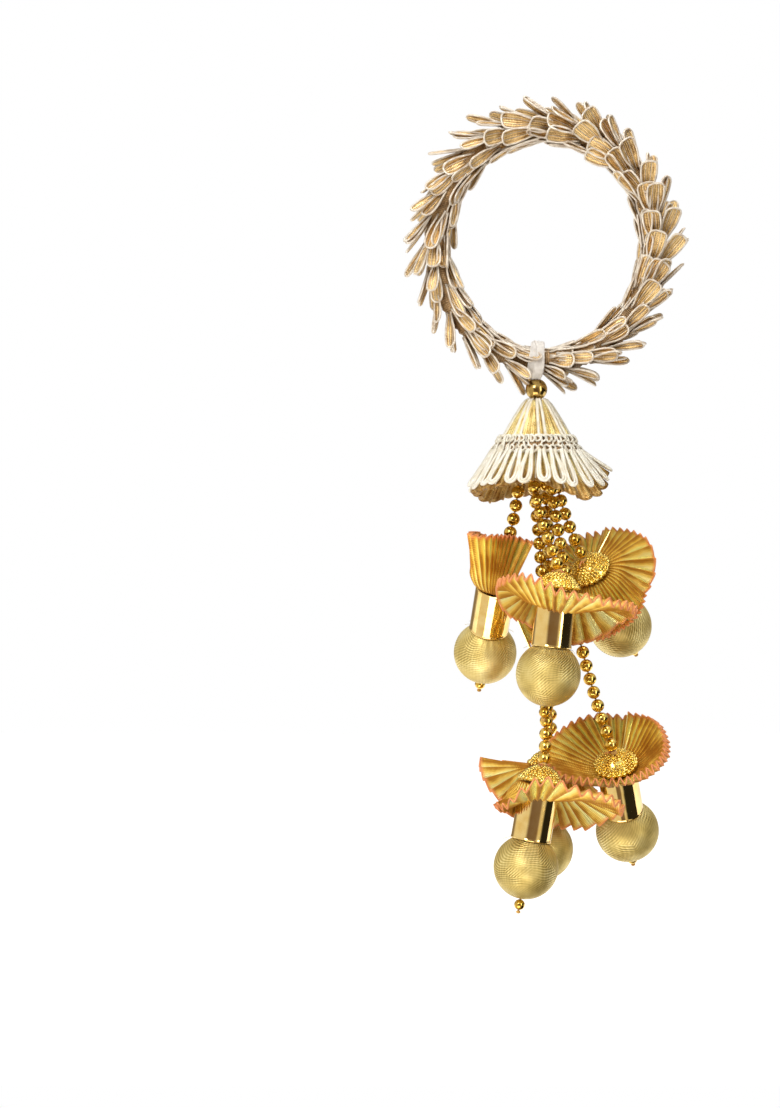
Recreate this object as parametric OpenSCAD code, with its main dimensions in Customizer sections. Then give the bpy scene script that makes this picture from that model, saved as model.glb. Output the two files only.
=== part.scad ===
// Hair-braid tassel of gota work, hung from a loop-lace ring.
// Millimetres, +Z up. The origin is the middle of the ring's opening, and the wearer's view is along +Y.

/* [Ring] */
// Half the width of the ring, to the middle of its wound section
ring_half_w = 32.4; // [30:0.2:36]
// Height of the ring's middle line above the origin
ring_top_h = 34; // [31:0.5:37]
// Depth of the ring's middle line below the origin
ring_bottom_h = 35.4; // [34:0.2:38]
// Radius of the wound core under the loops
core_r = 3.6; // [3:0.1:4.4]
// Turns that the loop lace takes round the core
lace_turns = 24; // [20:1:27]
// Loops of the lace in one turn
loops_per_turn = 6; // [5:1:7]

/* [Hanger] */
// Sideways place of the tie, and of the tassel under it
tie_x = -2.6; // [-5:0.2:0]
// Width of the tie tape where it goes round the ring
tape_w = 4.6; // [3:0.2:6]
// Radius of the bead between the ring and the cap
top_bead_r = 3.25; // [2.6:0.05:3.4]

/* [Cap] */
// Height of the cone cap from its neck to its lace hem
cap_h = 27; // [26:0.5:31]
// Radius of the hem
hem_r = 19.8; // [18:0.1:23]
// Gathers round the cap, one for each lace loop
gathers = 25; // [18:1:28]
// Thickness of the cap's cloth
cloth_t = 1; // [1:0.1:1.2]

/* [Beads] */
// Radius of a string bead
bead_r = 2; // [1.7:0.05:2.05]
// Distance from bead to bead along a string
bead_pitch = 4.15; // [4.12:0.01:4.4]

/* [Drops] */
// Radius of a pleated rosette
rosette_r = 21; // [18:0.5:22]
// Pleats in one rosette
pleats = 36; // [28:1:38]
// Height of a pleat at the rim, from its middle to its ridge
pleat_rise = 1.3; // [1:0.1:1.5]
// Radius of a cloth-covered ball
ball_r = 9.6; // [8.5:0.1:10]
// Outer radius of the gold tube over a ball
tube_r = 6; // [5:0.1:6]
// Length of that tube
tube_len = 15; // [12:0.5:15]
// Radius of a filigree bead cap
bead_cap_r = 6.6; // [5:0.1:6.7]
// Height of a filigree bead cap
bead_cap_h = 4.8; // [4:0.1:5]
// Radius of the small bead under a ball
end_bead_r = 1.6; // [1.2:0.1:1.8]

/* [Hidden] */
ROUND = 64;
gap = 0.15; // clearance between neighbouring pieces
thread_r = 0.25;
thread_sides = 4;
bead_bore_r = 0.7;
hub_hole_r = 1.4; // hole in the middle of a rosette
end_bead_bore_r = 0.45;
tape_in_r = core_r + 0.35;
tape_out_r = tape_in_r + 1.2;
top_bead_z = -ring_bottom_h - tape_out_r - gap - top_bead_r;
neck_z = top_bead_z - top_bead_r - gap; // top of the cap's neck
neck_r = 3.3;
stem_r = 0.9;
stem_top_z = -ring_bottom_h - tape_in_r - 0.3; // inside the tape's own wall
knot_r = 2.6; // wider than the cap's neck, so it carries the cap
knot_z = neck_z - 5;
string_top_z = neck_z - 13.4; // first beads, where six strings have room beside each other
string_ring_r = 4.5;

// Sections of the cap, as shares of its height and hem radius, with the depth of a gather in mm
// columns: depth share, radius share, gather depth
CAP_SECTIONS = [
    [0.00, neck_r / hem_r, 0.12],
    [0.20, 0.34, 0.30],
    [0.40, 0.50, 0.40],
    [0.57, 0.62, 0.50],
    [0.74, 0.75, 0.70],
    [1.00, 1.00, 1.10]
];
TRIM_FROM = 2; // the woven heading of the lace lies between these two sections
TRIM_TO = 3;
trim_gap = 0.2; // clearance between the heading and the sloping cap
picot_w = 3; // width, thickness and slot of a picot loop
picot_t = 0.8;
picot_slot_w = 0.7;
// How the hem swings round the cap. columns: angle, lift in mm, push outwards in mm
HEM_WAVE = [
    [0, 5, 1], [45, 2, 0.5], [90, -1, -1], [135, -3, 0.5], [180, 0, -1.5], [210, 0, -0.5], [240, 2.2, -1.5],
    [270, 3.2, -2.5], [295, 0, -0.5], [312, -3, 0.5], [335, -0.5, 1], [360, 5, 1]
];

// The six drops, upper tier first.
// columns: name, place of the rosette's middle, turn about X, turn about Y, direction of the rosette's seam,
// extra reach of its rays to one side and the direction of that side,
// string's angle round the cap, string's two middle handles
DROPS = [
    ["upper_front", [2.8, -15, -104.4], 0, 6, 100, 3, 0, 240, [-4.6, -5, -75], [0, -14, -88]],
    ["upper_left", [-14.4, 7, -102.4], 28, 8, 340, 5, 270, 172, [-7.8, 1.5, -80], [-10.6, 2.2, -89.6]],
    ["upper_right", [14.2, 5, -99.2], 38, -31, 50, 2.5, 235, 3, [3, 3, -76], [8, 0, -87]],
    ["lower_front", [-2.2, -15, -161.6], 0, 9.7, 135, 4.5, 0, 116, [1.4, 3.5, -108], [1, -3, -144]],
    ["lower_right", [21.6, 1, -157.8], 33, -12, 64, 2.4, 165, 305, [5, -1.5, -98], [11, -4, -128]],
    ["lower_back", [2, 16, -159.4], 3, 5, 270, 0, 0, 59, [2, 10.6, -95], [2.3, 13, -130]]
];
// How far each rosette's rays stand above its own plane, in degrees
// columns: directions evenly from one side of the seam, anticlockwise, to its other side
LIFTS = [
    [-82, -50, 6, 26, 9, 2, -14, -78, -84],
    [-70, -70, -30, 84, 97, 92, 98, 102, 97],
    [-12, -5, -35, -66, -70, -76, -70, -6, -4],
    [-74, -78, -45, 10, 3, -16, -46, -70, -74],
    [14, 20, 18, 34, 41, 39, 38, 38, 26],
    [-70, -70, -60, -30, -14, -8, 2, -50, -75]
];
// How a rosette's pleats are drawn together. columns: direction that they are drawn towards, by how many degrees
GATHERS = [[0, 0], [265, 44], [0, 0], [0, 0], [0, 0], [0, 0]];
spread = 0.55; // share of its gather by which a ray leans back past the crease

FRAME_PARTS = ["gota_ring", "tie_tape", "top_bead", "cone_cap", "loop_trim"];
DROP_PARTS = ["bead_string", "thread", "bead_cap", "rosette", "tube", "ball", "end_bead"];
function node_name(part, i) = str(part, "_", DROPS[i][0]);

// Heights along a drop's own axis, from the middle plane of its rosette
tube_top = -1.3;
tube_bottom = tube_top - tube_len;
ball_z = tube_bottom - sqrt(ball_r ^ 2 - (tube_r - 0.5) ^ 2) - gap;
end_bead_z = ball_z - ball_r - gap - end_bead_r;
cap_rim_z = 1.35;
cap_top_z = cap_rim_z + bead_cap_h;
string_end_z = cap_top_z + 0.4;

function unit(v) = v / norm(v);
function mix(a, b, t) = a + (b - a) * t;
function hem_wave(a, column) = lookup(a, [for (row = HEM_WAVE) [row[0], row[column]]]);

// A drop's own frame: its axis points up the string
function turn_x(v, a) = [v[0], v[1] * cos(a) - v[2] * sin(a), v[1] * sin(a) + v[2] * cos(a)];
function turn_y(v, b) = [v[0] * cos(b) + v[2] * sin(b), v[1], v[2] * cos(b) - v[0] * sin(b)];
function drop_dir(d, v) = turn_y(turn_x(v, d[2]), d[3]);
function drop_point(d, v) = d[1] + drop_dir(d, v);

// The ring's middle line, counted anticlockwise from the tie, with its direction
function ring_angle(t) = 270 + asin(tie_x / ring_half_w) + 360 * t;
function ring_point(t) = let (a = ring_angle(t))
    [ring_half_w * cos(a), 0, (sin(a) > 0 ? ring_top_h : ring_bottom_h) * sin(a)];
function ring_dir(t) = unit(ring_point(t + 0.002) - ring_point(t - 0.002));

// One closed or open sweep of sections, each a list of points in the same order
module loft(sections, closed = false) {
    n = len(sections[0]);
    rows = len(sections);
    last = closed ? rows : rows - 1;
    polyhedron(
        points = [for (s = sections) each s],
        faces = concat(
            closed ? [] : [[for (k = [0:n - 1]) k], [for (k = [n - 1:-1:0]) (rows - 1) * n + k]],
            [for (r = [0:last - 1]) for (k = [0:n - 1])
                let (a = r * n + k, b = r * n + (k + 1) % n, c = ((r + 1) % rows) * n)
                each [[a, c + k, b], [b, c + k, c + (k + 1) % n]]]
        )
    );
}

// One turn of the loop lace, as points from a loop's root to its tip
// columns: then, for the ridge, the flank and the valley between two loops,
// the share of a turn along the ring and the height over the core
LACE_ROWS = [
    [[0.00, 0.0], [0.00, 0.0], [0.00, 0.0]],
    [[0.50, 1.8], [0.48, 1.5], [0.45, 0.1]],
    [[1.00, 2.9], [0.86, 2.5], [0.72, 0.3]],
    [[1.18, 3.2], [0.94, 1.2], [0.78, 0.0]]
];
lace_columns = 4 * loops_per_turn; // ridge, flank, valley, flank
lace_kinds = [0, 1, 2, 1];
tie_share = (tape_w / 2 + 0.8) / (2 * PI * ring_half_w); // bare core for the tie
lace_share = (1 - 2 * tie_share) / (lace_turns + 0.25);

function ring_vertex(t, r, a) = let (o = ring_point(t), side = cross([0, 1, 0], ring_dir(t)))
    o + r * (cos(a) * side + sin(a) * [0, 1, 0]);
function lace_section(turn, row) = [for (c = [0:lace_columns - 1]) let (
        cell = LACE_ROWS[row][lace_kinds[(c + 2 * turn) % 4]]
    ) ring_vertex(tie_share + (turn + cell[0]) * lace_share, core_r + cell[1], 360 * c / lace_columns)];

module gota_ring() {
    bare = [for (t = [-0.5, 0.5]) [for (c = [0:lace_columns - 1])
        ring_vertex(t * tie_share, core_r, 360 * c / lace_columns)]];
    color([0.86, 0.74, 0.52]) loft(concat(
        bare,
        [for (turn = [0:lace_turns - 1]) for (row = [0:len(LACE_ROWS) - 1]) lace_section(turn, row)],
        [lace_section(lace_turns, 0)]
    ), closed = true);
}

// Children with +X along the ring and +Z out of its core, turned by roll about the core
module place_on_ring(t, roll) {
    o = ring_point(t);
    d = ring_dir(t);
    side = cross(d, [0, 1, 0]);
    out = cos(roll) * side + sin(roll) * [0, 1, 0];
    across = cross(out, d);
    multmatrix([
        [d[0], across[0], out[0], o[0]],
        [d[1], across[1], out[1], o[1]],
        [d[2], across[2], out[2], o[2]]
    ]) children();
}

// Tape round the ring, its stem through the bead and the cap's neck, and the knot that holds both
module tie_tape() {
    color([0.93, 0.92, 0.9]) union() {
        place_on_ring(0, 0) rotate([0, 90, 0]) rotate_extrude($fn = ROUND)
            translate([tape_in_r, -tape_w / 2]) square([tape_out_r - tape_in_r, tape_w]);
        translate([tie_x, 0, knot_z])
            cylinder(r = stem_r, h = stem_top_z - knot_z, $fn = ROUND);
        translate([tie_x, 0, knot_z]) sphere(r = knot_r, $fn = ROUND);
    }
}

module drilled_bead(r, bore_r) {
    difference() {
        sphere(r = r, $fn = ROUND);
        cylinder(r = bore_r, h = 3 * r, center = true, $fn = ROUND);
    }
}

module top_bead() {
    color([0.72, 0.57, 0.25]) translate([tie_x, 0, top_bead_z]) drilled_bead(top_bead_r, stem_r + 0.3);
}

// Point of the cap at angle a on section s, moved out by off. The hem's swing starts under the heading
function cap_point(s, a, off) = let (
        row = CAP_SECTIONS[s],
        swing_from = CAP_SECTIONS[TRIM_TO][0],
        ruffle = max(0, row[0] - swing_from) / (1 - swing_from),
        gather = row[2] * cos(gathers * a),
        r = row[1] * hem_r + off + gather + ruffle * hem_wave(a, 2),
        z = neck_z - row[0] * cap_h + ruffle * hem_wave(a, 1)
    ) [tie_x + r * cos(a), r * sin(a), z];
function cap_ring(a, outs, ins) = concat(
    [for (s = outs) cap_point(s, a, 0)],
    [for (s = ins) cap_point(s, a, -cloth_t)]);

module cone_cap() {
    steps = 2 * gathers;
    last = len(CAP_SECTIONS) - 1;
    color([0.88, 0.76, 0.5])
        loft([for (k = [0:steps - 1]) cap_ring(360 * k / steps, [0:last], [last:-1:0])], closed = true);
}

// Woven heading of the lace, sewn on the cap, with one long picot loop at each gather
module loop_trim() {
    steps = 2 * gathers;
    outer = trim_gap + cloth_t;
    color([0.9, 0.88, 0.82]) union() {
        loft([for (k = [0:steps - 1]) let (a = 360 * k / steps) [
            cap_point(TRIM_FROM, a, outer), cap_point(TRIM_TO, a, outer),
            cap_point(TRIM_TO, a, trim_gap), cap_point(TRIM_FROM, a, trim_gap)
        ]], closed = true);
        for (k = [0:gathers - 1]) picot(360 * k / gathers);
    }
}

// A long loop of cord that hangs from the heading over the hem, with its slot open
module picot(a) {
    off = trim_gap + picot_t - 0.2;
    from = cap_point(TRIM_TO, a, off);
    to = cap_point(len(CAP_SECTIONS) - 1, a, off);
    along = unit(to - from);
    across = [-sin(a), cos(a), 0];
    out = cross(across, along);
    reach = norm(to - from) * 0.96;
    multmatrix([
        [along[0], across[0], -out[0], from[0]],
        [along[1], across[1], -out[1], from[1]],
        [along[2], across[2], -out[2], from[2]]
    ]) difference() {
        hull() {
            translate([-1, -1, 0]) cube([1, 2, picot_t]);
            translate([reach, 0, 0]) cylinder(r = picot_w / 2, h = picot_t, $fn = 8);
        }
        translate([reach * 0.3, -picot_slot_w / 2, -1]) cube([reach * 0.6, picot_slot_w, picot_t + 2]);
    }
}

// A string's line from the cap to the top of its bead cap
function string_start(d) = [tie_x + string_ring_r * cos(d[7]), string_ring_r * sin(d[7]), string_top_z];
function bezier(p, t) = let (s = 1 - t)
    s ^ 3 * p[0] + 3 * s ^ 2 * t * p[1] + 3 * s * t ^ 2 * p[2] + t ^ 3 * p[3];
function string_line(d) = [string_start(d), d[8], d[9], drop_point(d, [0, 0, string_end_z])];

// Points along a line of n steps, counted from its lower end, and the length up to each
function line_points(d, n) = [for (k = [0:n]) bezier(string_line(d), 1 - k / n)];
function sums(p, k = 1, acc = [0]) = k >= len(p) ? acc
    : sums(p, k + 1, concat(acc, [acc[k - 1] + norm(p[k] - p[k - 1])]));
line_steps = 48;

// Beads sit a pitch apart from the bead cap upwards, each turned along the string
module bead_string(i) {
    d = DROPS[i];
    points = line_points(d, line_steps);
    run = sums(points);
    stations = [for (k = [0:line_steps]) [run[k], k]];
    count = floor((run[line_steps] - 2 * (bead_r + gap)) / bead_pitch) + 1;
    color([0.78, 0.58, 0.18]) for (b = [0:count - 1]) {
        k = lookup(bead_r + gap + b * bead_pitch, stations) / line_steps;
        here = bezier(string_line(d), 1 - k);
        above = bezier(string_line(d), 1 - min(1, k + 0.01));
        up = unit(above - bezier(string_line(d), 1 - max(0, k - 0.01)));
        translate(here) rotate([0, acos(up[2]), atan2(up[1], up[0])]) drilled_bead(bead_r, bead_bore_r);
    }
}

// Thread from the knot in the cap, down its string and through the drop, to a knot under the end bead
function thread_section(p, dir, r) = let (u = unit(cross(dir, [0, 1, 0])), v = cross(dir, u))
    [for (k = [0:thread_sides - 1]) let (a = 360 * k / thread_sides) p + r * (cos(a) * u + sin(a) * v)];
module thread(i) {
    d = DROPS[i];
    up = drop_dir(d, [0, 0, 1]);
    low = drop_point(d, [0, 0, end_bead_z - end_bead_r]);
    steps = i < 3 ? 14 : 22; // the lower tier hangs on longer strings
    points = line_points(d, steps);
    start = string_start(d);
    knot = [tie_x, 0, knot_z];
    fasten = knot + (knot_r + 0.2) * unit(start - knot);
    rows = concat(
        [[low - 0.7 * up, up, 0.35], [low - 0.35 * up, up, 0.75], [low - 0.1 * up, up, thread_r]],
        [for (k = [0:steps]) let (ahead = points[min(k + 1, steps)] - points[max(k - 1, 0)])
            [points[k], unit(ahead), thread_r]],
        [[fasten, unit(fasten - start), thread_r]]
    );
    color([0.85, 0.65, 0.25]) loft([for (row = rows) thread_section(row[0], row[1], row[2])]);
}

// Places children in a drop's own frame
module at_drop(i) {
    translate(DROPS[i][1]) rotate([DROPS[i][2], DROPS[i][3], 0]) children();
}

// Thin dome with a hole for the thread
module bead_cap(i) {
    wall = 0.6;
    dome_r = (bead_cap_r ^ 2 + bead_cap_h ^ 2) / (2 * bead_cap_h);
    dome_z = bead_cap_h - dome_r;
    color([0.83, 0.66, 0.22]) at_drop(i) translate([0, 0, cap_rim_z]) rotate_extrude($fn = ROUND)
        difference() {
            intersection() {
                translate([0, dome_z]) circle(r = dome_r, $fn = ROUND);
                translate([bead_bore_r, 0]) square([bead_cap_r, bead_cap_h]);
            }
            translate([0, dome_z]) circle(r = dome_r - wall, $fn = ROUND);
        }
}

// A rosette lies flat between bead cap and tube, and bends up or down past this radius
crease_r = 7.2;
seam_gap = 6; // degrees left open at the seam

// Lift of the ray at share t of the rosette, blended between the table's entries
function lift_at(i, t) = let (
        row = LIFTS[i],
        x = t * (len(row) - 1),
        k = min(floor(x), len(row) - 2),
        s = x - k
    ) mix(row[k], row[k + 1], s * s * (3 - 2 * s));

// Direction of a ray after the gather, and how far the gathered ray then leans aside to open towards the rim
function drawn(i, a) = a - GATHERS[i][1] * sin(a - GATHERS[i][0]);
function lean(i, a) = let (off = a - GATHERS[i][0]) spread * GATHERS[i][1] * sin(off) * (1 + cos(off));

// Point on a rosette: direction a, lift and sideways lean of its ray, distance along the ray,
// height h off the middle surface
function rosette_point(a, lift, sway, along, h) = let (
        past = max(0, along - crease_r),
        r = along - past + past * cos(sway) * cos(lift) - (past > 0 ? h * sin(lift) : 0),
        aside = past * sin(sway),
        z = past * cos(sway) * sin(lift) + h * (past > 0 ? cos(lift) : 1)
    ) [r * cos(a) - aside * sin(a), r * sin(a) + aside * cos(a), z];

// Height of a pleat's upper or lower face, thicker towards the rim, where the pleats are steep
function pleat_face(side, face, share) = side * pleat_rise * share + face * cloth_t / 2 * (1 + 0.5 * share);

// One face of a ray, from the hub to the rim
// columns of its stations: distance along the ray, share of its lift and lean
function rosette_ray(d, a, lift, sway, side, face) = let (
        reach = rosette_r + d[5] * cos(a - d[6]),
        stations = [[hub_hole_r, 0], [crease_r, 0], [crease_r + 2, 0.7], [reach, 1]]
    ) [for (q = stations)
        rosette_point(a, q[1] * lift, q[1] * sway, q[0], pleat_face(side, face, q[0] / reach))];
function reversed(list) = [for (j = [len(list) - 1:-1:0]) list[j]];

module rosette(i) {
    d = DROPS[i];
    rays = 2 * pleats;
    color([0.85, 0.6, 0.2]) at_drop(i) loft([for (k = [0:rays]) let (
            a = drawn(i, d[4] + seam_gap / 2 + (360 - seam_gap) * k / rays),
            sway = lean(i, a),
            lift = lift_at(i, k / rays),
            side = k % 2 == 0 ? 1 : -1
        ) concat(rosette_ray(d, a, lift, sway, side, 1), reversed(rosette_ray(d, a, lift, sway, side, -1)))]);
}

module tube(i) {
    wall = 0.5;
    color([0.8, 0.66, 0.3]) at_drop(i) translate([0, 0, tube_bottom]) difference() {
        cylinder(r = tube_r, h = tube_len, $fn = ROUND);
        translate([0, 0, -1]) cylinder(r = tube_r - wall, h = tube_len + 2, $fn = ROUND);
    }
}

// Covered ball with the gathered end of its cloth, which goes up into the tube
module ball(i) {
    gather_r = tube_r - 1.1;
    gather_h = ball_r + 6;
    color([0.84, 0.76, 0.5]) at_drop(i) translate([0, 0, ball_z]) difference() {
        union() {
            sphere(r = ball_r, $fn = ROUND);
            cylinder(r = gather_r, h = gather_h, $fn = ROUND);
        }
        translate([0, 0, -2 * ball_r]) cylinder(r = bead_bore_r, h = 5 * ball_r, $fn = ROUND);
    }
}

module end_bead(i) {
    color([0.8, 0.6, 0.2]) at_drop(i) translate([0, 0, end_bead_z]) drilled_bead(end_bead_r, end_bead_bore_r);
}

gota_ring();
tie_tape();
top_bead();
cone_cap();
loop_trim();
for (i = [0:len(DROPS) - 1]) {
    bead_string(i);
    thread(i);
    bead_cap(i);
    rosette(i);
    tube(i);
    ball(i);
    end_bead(i);
}
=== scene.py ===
import math
import random

import bpy
import numpy as np
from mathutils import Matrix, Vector


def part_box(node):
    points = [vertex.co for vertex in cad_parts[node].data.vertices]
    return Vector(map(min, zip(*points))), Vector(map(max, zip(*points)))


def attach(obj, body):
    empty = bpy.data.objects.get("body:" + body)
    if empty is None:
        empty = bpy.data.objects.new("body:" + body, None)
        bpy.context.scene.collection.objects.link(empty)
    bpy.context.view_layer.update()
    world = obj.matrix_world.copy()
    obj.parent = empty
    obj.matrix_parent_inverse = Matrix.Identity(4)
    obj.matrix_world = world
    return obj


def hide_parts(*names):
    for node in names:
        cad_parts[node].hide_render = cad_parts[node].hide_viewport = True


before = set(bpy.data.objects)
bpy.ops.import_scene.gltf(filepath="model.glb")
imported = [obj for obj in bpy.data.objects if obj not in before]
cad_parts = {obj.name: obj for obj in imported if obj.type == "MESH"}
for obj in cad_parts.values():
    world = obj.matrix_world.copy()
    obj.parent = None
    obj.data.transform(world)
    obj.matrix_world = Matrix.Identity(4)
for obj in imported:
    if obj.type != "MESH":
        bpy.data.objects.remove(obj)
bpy.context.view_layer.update()  # the solids of the tassel, one for each piece
mm = 0.001
print("solids loaded:", len(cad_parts))

# Camera, straight in front of the tassel, a little to its left as in the photograph
view = {
    "distance": 0.95,
    "frameHeight": 0.3324,  # what the picture's height covers at the tassel
    "aim": (-0.0465, 0.0, -0.0933),
    "rise": 0.012,  # how much higher than its aim the camera stands
}


def newObject(name, data):
    made = bpy.data.objects.new(name, data)
    bpy.context.scene.collection.objects.link(made)
    return made


def setCamera():
    lens = bpy.data.cameras.new("studioCamera")
    lens.lens = lens.sensor_width * view["distance"] / view["frameHeight"]
    lens.clip_start, lens.clip_end = 0.01, 20
    camera = newObject("studioCamera", lens)
    x, y, z = view["aim"]
    camera.location = (x, y - view["distance"], z + view["rise"])
    camera.rotation_euler = (math.pi / 2 - math.atan2(view["rise"], view["distance"]), 0, 0)
    bpy.context.scene.camera = camera


setCamera()
print("camera set")


# Small vector work, on whole arrays of points at once
def unit(v):
    v = np.asarray(v, float)
    return v / np.maximum(np.linalg.norm(v, axis=-1, keepdims=True), 1e-12)


def mix(a, b, t):
    return a + (b - a) * t


def smooth(t):
    t = np.clip(t, 0, 1)
    return t * t * (3 - 2 * t)


def zigzag(turns):
    return 2 * np.abs(2 * (turns - np.floor(turns + 0.5))) - 1  # 1 halfway, -1 at whole turns


def fullTurn(count):
    return np.arange(count) * math.tau / count


def leanTo(v, towards, angle):
    return unit(v * math.cos(angle) + towards * math.sin(angle))


# Points on a circle round an upright line
def onCircle(radius, angle, height):
    return np.stack(np.broadcast_arrays(radius * np.cos(angle), radius * np.sin(angle), height), -1)


def runAlong(line):
    return np.concatenate([[0], np.cumsum(np.linalg.norm(np.diff(line, axis=0), axis=1))])


# Cloth places in mm, from those across and those along
def spotGrid(across, along):
    return np.stack(np.broadcast_arrays(across[None], along[:, None]), -1)


# A heap collects the sheets and cords of one piece before they become its mesh
def newHeap():
    return {"points": [], "faces": [], "spots": [], "finish": [], "count": 0}


# spots are cloth places in mm, with one more row or column where the grid closes on itself
def addGrid(heap, grid, spots, finish=0, closeRows=False, closeCols=False, flip=False):
    rows, cols = grid.shape[:2]
    r, c = np.meshgrid(
        np.arange(rows if closeRows else rows - 1), np.arange(cols if closeCols else cols - 1), indexing="ij")
    r1, c1 = (r + 1) % rows, (c + 1) % cols
    quads = np.stack([r * cols + c, r * cols + c1, r1 * cols + c1, r1 * cols + c], -1).reshape(-1, 4)
    corners = np.stack([spots[r, c], spots[r, c + 1], spots[r + 1, c + 1], spots[r + 1, c]], 2)
    corners = corners.reshape(-1, 4, 2)
    if flip:
        quads, corners = quads[:, ::-1], corners[:, ::-1]
    heap["points"].append(grid.reshape(-1, 3))
    heap["faces"] += (quads + heap["count"]).tolist()
    heap["spots"].append(corners.reshape(-1, 2))
    heap["finish"] += [finish] * len(quads)
    heap["count"] += rows * cols


def gridNormals(grid):
    return unit(np.cross(np.gradient(grid, axis=1), np.gradient(grid, axis=0)))


# A thin sheet with two faces and its edges closed
def addSheet(heap, grid, spots, thickness, closeCols=False, backShift=0.0):
    if closeCols:
        wide = np.concatenate([grid[:, -1:], grid, grid[:, :1]], 1)
        normals = gridNormals(wide)[:, 1:-1]
    else:
        normals = gridNormals(grid)
    half = normals * thickness / 2
    ring = np.concatenate([grid + half, (grid - half)[::-1]], 0)
    back = spots + [backShift, 0]  # the back's cloth places, moved across by this many mm
    spotRing = np.concatenate([spots, back[::-1], spots[:1]], 0)
    addGrid(heap, ring, spotRing, closeRows=True, closeCols=closeCols)
    if not closeCols:
        rows, cols = ring.shape[:2]
        base = heap["count"] - rows * cols
        for col, turn in ((0, 1), (cols - 1, -1)):
            for i in range(len(grid) - 1):
                edge = (i + 1, i, rows - 1 - i, rows - 2 - i)[::turn]
                heap["faces"].append([base + row * cols + col for row in edge])
                heap["finish"].append(0)
            heap["spots"].append(np.repeat(spots[:-1, col], 4, 0))


# Closes both ends of the round grid just added
def closeEnds(heap, rows, cols, spots, finish=0):
    base = heap["count"] - rows * cols
    for row, order in ((0, -1), (rows - 1, 1)):
        heap["faces"].append([base + row * cols + k for k in range(cols)][::order])
        heap["spots"].append(spots[row, :cols])
        heap["finish"].append(finish)


offPath = (0.3, 0.9, 0.2)  # a direction that no thread here starts along


# A round cord along a path. aside is any direction off the path, such as the normal of a flat loop
def addCord(heap, path, radius, sides=6, finish=0, aside=None, closed=False):
    path = np.asarray(path, float)
    n = len(path)
    ahead = unit(np.roll(path, -1, 0) - np.roll(path, 1, 0) if closed else np.gradient(path, axis=0))
    if aside is None:
        u = np.zeros((n, 3))
        u[0] = unit(np.cross(ahead[0], offPath))
        for i in range(1, n):
            u[i] = unit(u[i - 1] - ahead[i] * (u[i - 1] @ ahead[i]))
    else:
        u = unit(np.cross(ahead, np.broadcast_to(aside, (n, 3))))
    v = np.cross(ahead, u)
    turn = fullTurn(sides)[:, None]
    grid = path[:, None] + radius * (np.cos(turn) * u[:, None] + np.sin(turn) * v[:, None])
    run = runAlong(path)
    if closed:
        run = np.append(run, run[-1] + np.linalg.norm(path[0] - path[-1]))
    spots = spotGrid(np.arange(sides + 1) / sides, run)
    addGrid(heap, grid, spots, finish, closeRows=closed, closeCols=True)
    if not closed:
        closeEnds(heap, n, sides, np.repeat(spots[:, :1], sides, 1), finish)


# A turned shape: profile is a closed or open line of radius and height
def turnedGrid(profile, columns):
    profile = np.asarray(profile, float)
    return onCircle(profile[:, :1], fullTurn(columns), profile[:, 1:])


def turnedSpots(profile, columns, closed):
    profile = np.asarray(profile, float)
    run = runAlong(profile)
    if closed:
        run = np.append(run, run[-1] + 0.5)  # the short step that closes the outline
    return spotGrid(np.arange(columns + 1) / columns * math.tau * profile[:, 0].max(), run)


def addTurned(heap, profile, columns, place):
    grid = place(turnedGrid(profile, columns))
    addGrid(heap, grid, turnedSpots(profile, columns, True), closeRows=True, closeCols=True)


# The outline of a knot or a grain, from end to end
def roundProfile(size, height=0.0, flat=1.0, end=0.1, rows=7):
    turn = np.linspace(end, math.pi - end, rows)
    return [(size * math.sin(a), height - flat * size * math.cos(a)) for a in turn]


def camelName(node):
    first, *others = node.split("_")
    return first + "".join(word.capitalize() for word in others)


# Makes the mesh in metres, named after the solid it stands for, and hides that solid
def makePiece(heap, node, materials, sharp=None):
    name = camelName(node)
    mesh = bpy.data.meshes.new(name)
    mesh.from_pydata((np.concatenate(heap["points"]) * mm).tolist(), [], heap["faces"])
    layer = mesh.uv_layers.new(name="weave")
    layer.uv.foreach_set("vector", np.concatenate(heap["spots"]).astype(np.float32).ravel())
    for material in materials:
        mesh.materials.append(material)
    mesh.polygons.foreach_set("material_index", np.asarray(heap["finish"], np.int32))
    mesh.polygons.foreach_set("use_smooth", np.ones(len(mesh.polygons), bool))
    if sharp is not None:
        mesh.set_sharp_from_angle(angle=math.radians(sharp))
    mesh.update()
    piece = newObject(name, mesh)
    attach(piece, "root")
    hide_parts(node)
    return piece


# Node work for the finishes
def addNode(tree, kind, sockets=None, **settings):
    made = tree.nodes.new("ShaderNode" + kind)
    for key, value in settings.items():
        setattr(made, key, value)
    for key, value in (sockets or {}).items():
        if isinstance(value, bpy.types.NodeSocket):
            tree.links.new(value, made.inputs[key])
        else:
            made.inputs[key].default_value = value
    return made


def maths(tree, operation, *values):
    return addNode(tree, "Math", dict(enumerate(values)), operation=operation).outputs[0]


# Adds patterns up, each times its weight
def weigh(tree, *parts):
    total = None
    for value, weight in parts:
        part = value if weight == 1 else maths(tree, "MULTIPLY", value, weight)
        total = part if total is None else maths(tree, "ADD", total, part)
    return total


def newFinish(name, **surface):
    material = bpy.data.materials.new(name)
    material.use_nodes = True
    tree = material.node_tree
    tree.nodes.clear()
    out = addNode(tree, "OutputMaterial")
    shader = addNode(tree, "BsdfPrincipled", {
        {"metal": "Metallic", "rough": "Roughness", "sheen": "Sheen Weight", "brushed": "Anisotropic",
         "gloss": "Specular IOR Level"}[key]: value for key, value in surface.items()})
    tree.links.new(shader.outputs[0], out.inputs[0])
    return material, tree, shader


def clothPlace(tree):
    place = addNode(tree, "UVMap", uv_map="weave")
    split = addNode(tree, "SeparateXYZ", {0: place.outputs[0]})
    return split.outputs[0], split.outputs[1]


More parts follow.
